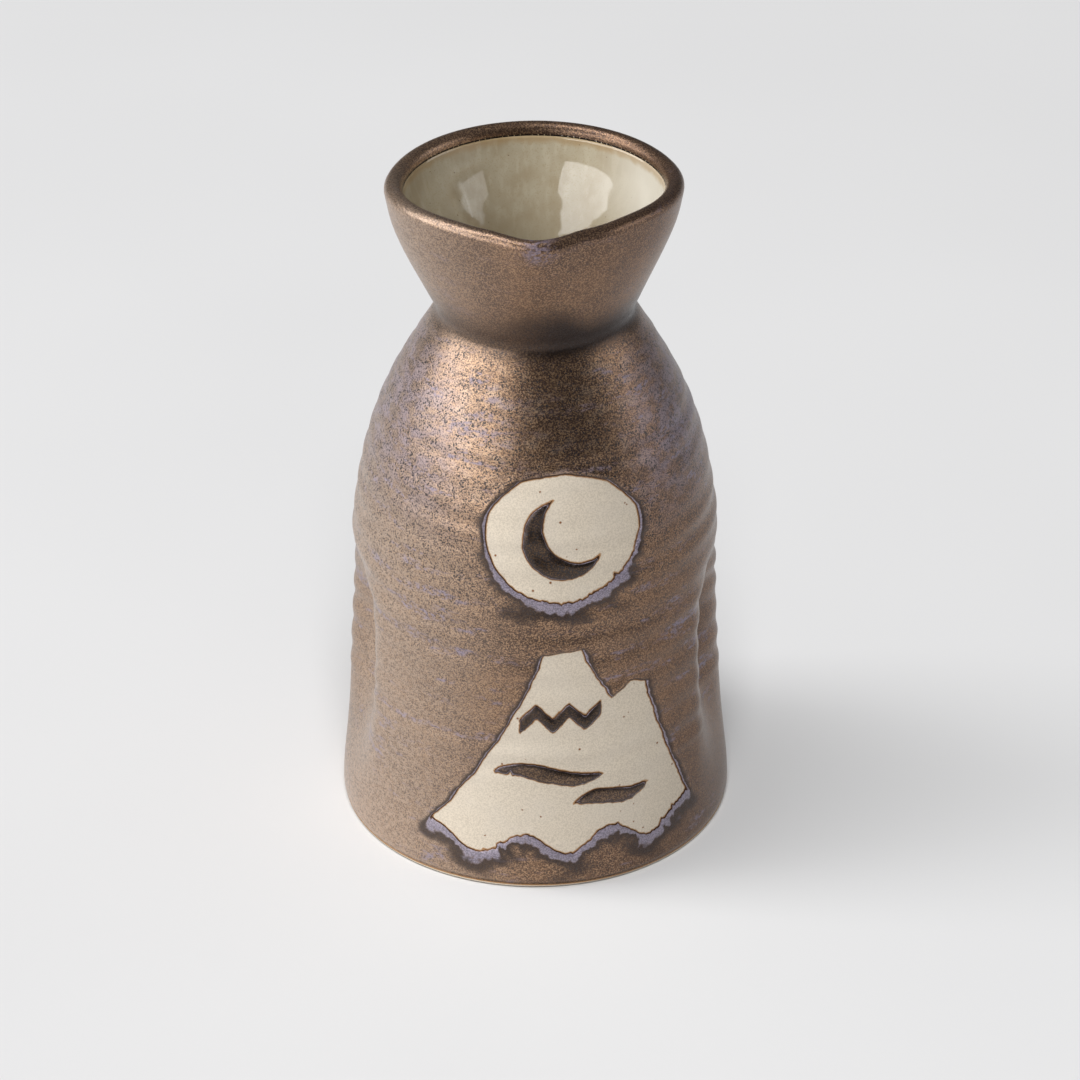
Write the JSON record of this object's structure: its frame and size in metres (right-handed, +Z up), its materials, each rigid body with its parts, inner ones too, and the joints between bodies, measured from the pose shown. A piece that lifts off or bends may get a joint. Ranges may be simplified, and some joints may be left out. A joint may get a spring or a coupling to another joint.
{
  "type": "sake bottle",
  "caption": "Waisted stoneware pouring bottle with a flared cup mouth, pinched spout, side finger dents and a flat foot ring.",
  "frame": {"origin": "centre of the foot, in the plane of the table", "axes": "+Z up, the spout points along -Y"},
  "size_m": [0.0798, 0.0798, 0.139],
  "materials": {
    "stoneware": "matte bare stoneware with fine iron specks",
    "bronze_glaze": "semi-matte bronze lustre glaze with dark pits and lilac breaks",
    "cream_glaze": "glossy cream glaze",
    "dark_glaze": "dark brown glaze with a lilac rim"
  },
  "bodies": {
    "root": {"stoneware_body": "stoneware", "outer_glaze": "bronze_glaze", "inner_glaze": "cream_glaze", "crescent_glaze": "dark_glaze", "snow_line_glaze": "dark_glaze", "upper_mist_glaze": "dark_glaze", "lower_mist_glaze": "dark_glaze"}
  },
  "joints": []
}
